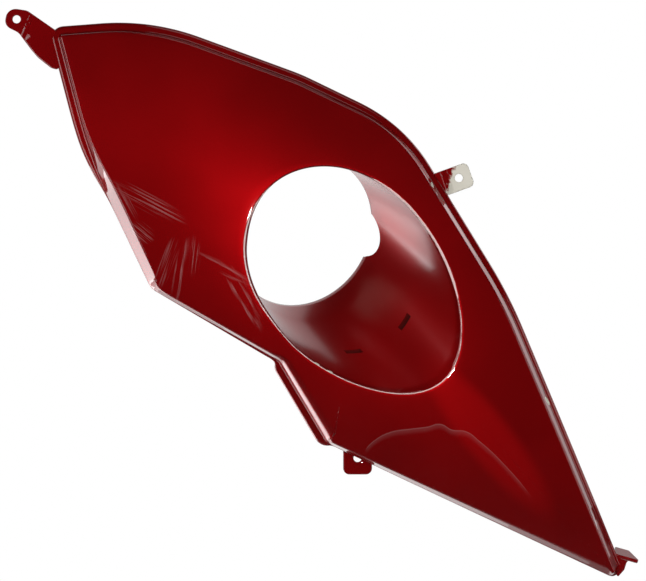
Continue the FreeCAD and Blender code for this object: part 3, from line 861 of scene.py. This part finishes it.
coordinates = node("ShaderNodeTexCoord")
paint_and_funnel_light = node("ShaderNodeAttribute", attribute_name="paint").outputs["Fac"]
ragged = sum_of(paint_and_funnel_light, noise(420, 4), 0.34)
covered = spread(ragged, 0.62, 0.72)
flake = noise(5200, 1)
clouds = noise(14, 2)
deep = (0.150, 0.0006, 0.0012)
bright = (0.178, 0.0009, 0.0016)


def measured(way_x, way_z, x, z):
    """Distance in millimetres from a place, along a way in the front view."""
    reach = node("ShaderNodeVectorMath", operation="DOT_PRODUCT")
    reach.inputs[1].default_value = (way_x / MM, 0.0, way_z / MM)
    links.new(coordinates.outputs["Object"], reach.inputs[0])
    shifted = node("ShaderNodeMath", operation="SUBTRACT")
    links.new(reach.outputs["Value"], shifted.inputs[0])
    shifted.inputs[1].default_value = way_x * x + way_z * z
    return shifted.outputs[0]


def joined(operation, first, second):
    """Arithmetic on two values, each a number or a socket."""
    made = node("ShaderNodeMath", operation=operation)
    for socket, value in zip(made.inputs, (first, second)):
        if isinstance(value, (int, float)):
            socket.default_value = value
        else:
            links.new(value, socket)
    return made.outputs[0]


def oval(x, z, angle, half_long, half_wide):
    """Soft oval in the front view: 1 in its middle and 0 at its edge. Also gives its two measures."""
    way_x = math.cos(math.radians(angle))
    way_z = math.sin(math.radians(angle))
    long_part = measured(way_x, way_z, x, z)
    wide_part = measured(-way_z, way_x, x, z)
    long_share = joined("DIVIDE", long_part, half_long)
    wide_share = joined("DIVIDE", wide_part, half_wide)
    long_square = joined("MULTIPLY", long_share, long_share)
    wide_square = joined("MULTIPLY", wide_share, wide_share)
    mask = spread(joined("ADD", long_square, wide_square), 0.0, 1.0, 1.0, 0.0)
    return mask, long_part, wide_part


def streak_lines(x, z, angle, half_long, half_wide, amount, grain=(0.030, 1.25)):
    """Fine lines along an oval: cloud pattern drawn out along it, kept where it is brightest."""
    mask, long_part, wide_part = oval(x, z, angle, half_long, half_wide)
    stretched = node("ShaderNodeCombineXYZ")
    links.new(joined("MULTIPLY", long_part, grain[0]), stretched.inputs[0])
    links.new(joined("MULTIPLY", wide_part, grain[1]), stretched.inputs[1])
    stretched.inputs[2].default_value = x * 0.37
    lines = node("ShaderNodeTexNoise")
    lines.inputs["Scale"].default_value = 1.0
    lines.inputs["Detail"].default_value = 3.0
    links.new(stretched.outputs[0], lines.inputs["Vector"])
    return joined("MULTIPLY", mask, spread(lines.outputs["Fac"], 0.48, 0.74, 0.0, amount))


paint_colour = blend_colour(spread(clouds, 0.35, 0.65), deep, bright)
paint_colour = blend_colour(spread(flake, 0.60, 0.75, 0.0, 0.35), paint_colour, (0.26, 0.0016, 0.0026))
# Painted light: the funnel is painted a lighter red.
paint_colour = blend_colour(spread(paint_and_funnel_light, 1.05, 1.45, 0.0, 0.5), paint_colour, (0.34, 0.0016, 0.0026))

# Painted highlight: along a low ridge from the rim towards the tip, where the flake catches more light, the
# red is painted lighter.
ridge_highlight = oval(118.0, -131.0, -51.4, 80.0, 20.0)[0]
paint_colour = blend_colour(spread(ridge_highlight, 0.0, 1.0, 0.0, 0.55), paint_colour, (0.36, 0.0020, 0.0030))

# Pale streaks painted on the lower left of the face: two fans of hair lines, upright streaks and a haze
# along the rim.
streaks_and_reflection = streak_lines(-99.0, 18.5, -27.8, 32.0, 7.0, 0.16)
for mark in (
    streak_lines(-112.0, 18.0, -62.0, 17.0, 4.5, 0.18),
    streak_lines(-101.5, -1.0, -40.0, 10.0, 7.0, 0.24),
    streak_lines(-86.0, -21.0, 70.0, 19.0, 6.0, 0.17),
    streak_lines(-77.6, -27.0, 80.0, 24.0, 4.2, 0.34, (0.03, 0.42)),
    streak_lines(-70.0, -17.0, 84.0, 15.0, 7.0, 0.15),
    streak_lines(-50.0, -25.0, -28.0, 24.0, 5.5, 0.15, (0.03, 0.3)),
    streak_lines(-37.0, -43.0, -61.0, 26.0, 7.5, 0.28, (0.03, 0.26)),
):
    streaks_and_reflection = joined("MAXIMUM", streaks_and_reflection, mark)

# Painted reflection: a wavy pale line crosses the lower face and runs on along the ridge, a fine line with
# a soft band below it, in shares of a box round the wave.
WAVE = [
    (40.0, -141.5), (46.0, -134.5), (57.0, -128.6), (69.0, -126.6), (80.0, -125.3), (88.0, -123.5),
    (96.0, -127.2), (104.0, -128.0), (113.0, -134.2), (131.0, -151.3), (148.0, -171.7),
]
wave_width = WAVE[-1][0] - WAVE[0][0]
wave_bottom = WAVE[-1][1] - 4.0
wave_height = 60.0
place_on_wave = joined("DIVIDE", measured(1, 0, WAVE[0][0], 0), wave_width)
wave_line = node("ShaderNodeFloatCurve")
wave_points = wave_line.mapping.curves[0].points
while len(wave_points) < len(WAVE):
    wave_points.new(0.5, 0.5)
for point, (x, z) in zip(wave_points, WAVE):
    point.location = ((x - WAVE[0][0]) / wave_width, (z - wave_bottom) / wave_height)
wave_line.mapping.update()
links.new(place_on_wave, wave_line.inputs["Value"])
height_on_wave = joined("DIVIDE", measured(0, 1, 0, wave_bottom), wave_height)
above = joined("SUBTRACT", height_on_wave, wave_line.outputs[0])
on_wave = joined("MULTIPLY", spread(place_on_wave, 0.0, 0.03), spread(place_on_wave, 0.90, 1.0, 1.0, 0.0))
wave_band = spread(above, -0.070, 0.002, 0.0, 0.055)
wave_line_edge = spread(above, -0.010, 0.002, 0.0, 0.09)
below_wave = spread(above, 0.002, 0.009, 1.0, 0.0)
wave_reflection_band = joined("MULTIPLY", joined("ADD", wave_band, wave_line_edge), below_wave)
wave_reflection = joined("MULTIPLY", wave_reflection_band, on_wave)
streaks_and_reflection = joined("MAXIMUM", streaks_and_reflection, wave_reflection)
# The pale streaks and the painted reflection of the wave are mixed into the red.
paint_colour = blend_colour(streaks_and_reflection, paint_colour, (0.62, 0.40, 0.40))

# Rubbed rim that is also a painted highlight, painted shade in the slot pockets, and small chips down to
# the plastic along the edges.
rub_highlight_shade = node("ShaderNodeAttribute", attribute_name="rub_and_painted_light").outputs["Fac"]
# Painted highlight: the rim's crest is mixed towards pale pink, partly rubbed-thin paint and partly a
# highlight line.
rub_highlight = spread(sum_of(rub_highlight_shade, noise(330, 3), 0.7), 0.80, 1.15, 0.0, 0.85)
paint_colour = blend_colour(rub_highlight, paint_colour, (0.80, 0.60, 0.58))
# Painted shade: the pocket walls and floor are darkened to near black.
paint_colour = blend_colour(spread(rub_highlight_shade, -1.0, -0.1, 1.0, 0.0), paint_colour, (0.020, 0.007, 0.006))
chips = oval(83.4, 28.8, -65.0, 2.6, 0.9)[0]
for chip in (
    oval(156.6, -108.6, -63.0, 4.0, 1.0)[0],
    oval(10.0, -85.0, -30.0, 2.6, 0.8)[0],
    oval(18.2, -90.0, -25.0, 3.0, 0.8)[0],
):
    chips = joined("MAXIMUM", chips, chip)
covered = joined("MULTIPLY", covered, spread(sum_of(chips, noise(700, 2), 0.5), 0.62, 0.78, 1.0, 0.0))
plastic = blend_colour(noise(90, 4), (0.55, 0.52, 0.44), (0.66, 0.63, 0.55))
links.new(blend_colour(covered, plastic, paint_colour), shader.inputs["Base Color"])
links.new(spread(covered, 0, 1, 0.55, 0.40), shader.inputs["Roughness"])
# Painted shade also takes the clear coat off in the pockets.
unshaded = spread(rub_highlight_shade, -0.6, -0.1, 0.0, 1.0)
links.new(joined("MULTIPLY", covered, unshaded), shader.inputs["Coat Weight"])
links.new(spread(paint_and_funnel_light, 1.05, 1.45, 0.025, 0.20), shader.inputs["Coat Roughness"])
links.new(spread(covered, 0, 1, 0.4, 0.0), shader.inputs["Specular IOR Level"])
flake_shown = spread(paint_and_funnel_light, FLAT_PAINT, 1.0, 0.0, 0.5)
flaky = joined("MULTIPLY", flake_shown, spread(streaks_and_reflection, 0.0, 0.6, 1.0, 0.3))
links.new(joined("MULTIPLY", flaky, spread(rub_highlight, 0.0, 0.8, 1.0, 0.0)), shader.inputs["Metallic"])
cover.data.materials.append(red)
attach(cover, "root")
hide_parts("lamp_cover")

# Studio: soft boxes round the hung cover, and the camera square to it, three metres off. The cool ones
# light the edges and the funnel from behind.
camera = bpy.data.objects.new("camera", bpy.data.cameras.new("camera"))
camera.data.sensor_width = 36.0
camera.data.lens = 259.2
camera.data.clip_end = 20.0
camera.location = (0.01387, -3.0, -0.03844)
camera.rotation_euler = (math.pi / 2, 0, 0)
bpy.context.scene.collection.objects.link(camera)
bpy.context.scene.camera = camera
bpy.context.scene.view_settings.view_transform = "Standard"
COOL = (0.90, 1.0, 1.0)


def soft_box(name, place, aim, size_x, size_y, power, tint=(1, 1, 1)):
    """Rectangular area lamp at a place, turned towards a point."""
    lamp = bpy.data.lights.new(name, "AREA")
    lamp.color = tint
    lamp.shape = "RECTANGLE"
    lamp.size = size_x
    lamp.size_y = size_y
    lamp.energy = power
    thing = bpy.data.objects.new(name, lamp)
    thing.location = place
    way = np.array(aim) - np.array(place)
    yaw = math.atan2(way[1], way[0]) - math.pi / 2
    pitch = math.atan2(way[2], math.hypot(way[0], way[1]))
    thing.rotation_euler = (math.pi / 2 + pitch, 0, yaw)
    bpy.context.scene.collection.objects.link(thing)
    return thing


soft_box("left_panel", (-1.22, -0.74, 0.12), (0, 0, 0), 0.74, 0.9, 7.2)
soft_box("right_panel", (1.15, -0.90, -0.05), (0, 0, 0), 0.9, 0.9, 6.4)
soft_box("top_panel", (0.10, -0.72, 1.25), (0, 0, 0), 0.9, 0.7, 2.6)
soft_box("key", (-0.23, -1.5, 0.09), (0, 0, 0), 0.05, 0.05, 12.5)
soft_box("left_strip", (-1.12, 0.36, -0.69), (-0.11, 0.0, -0.01), 0.60, 0.80, 10.0, COOL)
soft_box("step_strip", (-0.88, 0.70, -0.72), (0.0, 0.0, -0.11), 0.36, 0.36, 1.6, COOL)
soft_box("low_strip", (-0.39, 0.95, -0.81), (0.10, 0.0, -0.18), 0.6, 0.5, 0.7, COOL)
soft_box("right_strip", (1.15, 0.43, 0.52), (0.12, 0.0, -0.05), 0.45, 1.10, 5.0, COOL)
soft_box("back_left", (-1.00, 0.95, -0.48), (0.05, -0.03, 0.0), 0.8, 0.6, 1.5, COOL)


# Backdrop: a white paper sheet hangs behind the cover. The camera and the first reflection in the paint see
# it as pure white, and its back is clear.
def pale_sheet(name, corners):
    """Flat sheet over four corners, of matt pale paper; gives its object, nodes, links and matt shader."""
    mesh = bpy.data.meshes.new(name)
    mesh.from_pydata(corners, [], [(0, 1, 2, 3)])
    thing = bpy.data.objects.new(name, mesh)
    bpy.context.scene.collection.objects.link(thing)
    paper = bpy.data.materials.new(name + "_paper")
    paper.use_nodes = True
    matt = paper.node_tree.nodes["Principled BSDF"]
    matt.inputs["Base Color"].default_value = (0.84, 0.84, 0.84, 1)
    matt.inputs["Roughness"].default_value = 0.8
    thing.data.materials.append(paper)
    return thing, paper.node_tree.nodes, paper.node_tree.links, matt


def clear_behind(paper_nodes, paper_links, front):
    """Shows the front shader on the front of a sheet, and nothing on its back."""
    clear = paper_nodes.new("ShaderNodeBsdfTransparent")
    side = paper_nodes.new("ShaderNodeNewGeometry")
    side_mix = paper_nodes.new("ShaderNodeMixShader")
    paper_links.new(side.outputs["Backfacing"], side_mix.inputs["Fac"])
    paper_links.new(front.outputs["Shader"], side_mix.inputs[1])
    paper_links.new(clear.outputs["BSDF"], side_mix.inputs[2])
    paper_links.new(side_mix.outputs["Shader"], paper_nodes["Material Output"].inputs["Surface"])


sheet_corners = [(-2.2, 1.2, -1.6), (2.2, 1.2, -1.6), (2.2, 1.2, 2.0), (-2.2, 1.2, 2.0)]
sheet, sheet_nodes, sheet_links, sheet_matt = pale_sheet("backdrop", sheet_corners)
sheet_glow = sheet_nodes.new("ShaderNodeEmission")
sheet_ray = sheet_nodes.new("ShaderNodeLightPath")
first_bounce = sheet_nodes.new("ShaderNodeMath")
first_bounce.operation = "LESS_THAN"
first_bounce.inputs[1].default_value = 1.5
in_paint = sheet_nodes.new("ShaderNodeMath")
in_paint.operation = "MULTIPLY"
seen = sheet_nodes.new("ShaderNodeMath")
seen.operation = "MAXIMUM"
sheet_front = sheet_nodes.new("ShaderNodeMixShader")
sheet_links.new(sheet_ray.outputs["Ray Depth"], first_bounce.inputs[0])
sheet_links.new(first_bounce.outputs[0], in_paint.inputs[0])
sheet_links.new(sheet_ray.outputs["Is Glossy Ray"], in_paint.inputs[1])
sheet_links.new(sheet_ray.outputs["Is Camera Ray"], seen.inputs[0])
sheet_links.new(in_paint.outputs[0], seen.inputs[1])
sheet_links.new(seen.outputs[0], sheet_front.inputs["Fac"])
sheet_links.new(sheet_matt.outputs["BSDF"], sheet_front.inputs[1])
sheet_links.new(sheet_glow.outputs["Emission"], sheet_front.inputs[2])
clear_behind(sheet_nodes, sheet_links, sheet_front)

# Floor: a plain pale sheet lies well below the hung cover, where it keeps the cover's shadow. The camera
# sees it lit up by a glow of its own, and its underside is clear.
floor_corners = [(-8, -8, -1.6), (8, -8, -1.6), (8, 8, -1.6), (-8, 8, -1.6)]
floor, floor_nodes, floor_links, floor_matt = pale_sheet("floor", floor_corners)
floor_glow = floor_nodes.new("ShaderNodeEmission")
floor_glow.inputs["Color"].default_value = (0.88, 0.88, 0.88, 1)
floor_ray = floor_nodes.new("ShaderNodeLightPath")
floor_front = floor_nodes.new("ShaderNodeAddShader")
floor_links.new(floor_ray.outputs["Is Camera Ray"], floor_glow.inputs["Strength"])
floor_links.new(floor_matt.outputs["BSDF"], floor_front.inputs[0])
floor_links.new(floor_glow.outputs["Emission"], floor_front.inputs[1])
clear_behind(floor_nodes, floor_links, floor_front)

# Room: nearly dark, but white where the camera looks past the sheets.
world = bpy.data.worlds.new("room")
bpy.context.scene.world = world
world.use_nodes = True
sky_nodes = world.node_tree.nodes
sky_links = world.node_tree.links
sky_nodes["Background"].inputs["Color"].default_value = (0.02, 0.02, 0.02, 1)
white = sky_nodes.new("ShaderNodeBackground")
white.inputs["Color"].default_value = (1, 1, 1, 1)
path = sky_nodes.new("ShaderNodeLightPath")
mix = sky_nodes.new("ShaderNodeMixShader")
sky_links.new(path.outputs["Is Camera Ray"], mix.inputs["Fac"])
sky_links.new(sky_nodes["Background"].outputs["Background"], mix.inputs[1])
sky_links.new(white.outputs["Background"], mix.inputs[2])
sky_links.new(mix.outputs["Shader"], sky_nodes["World Output"].inputs["Surface"])
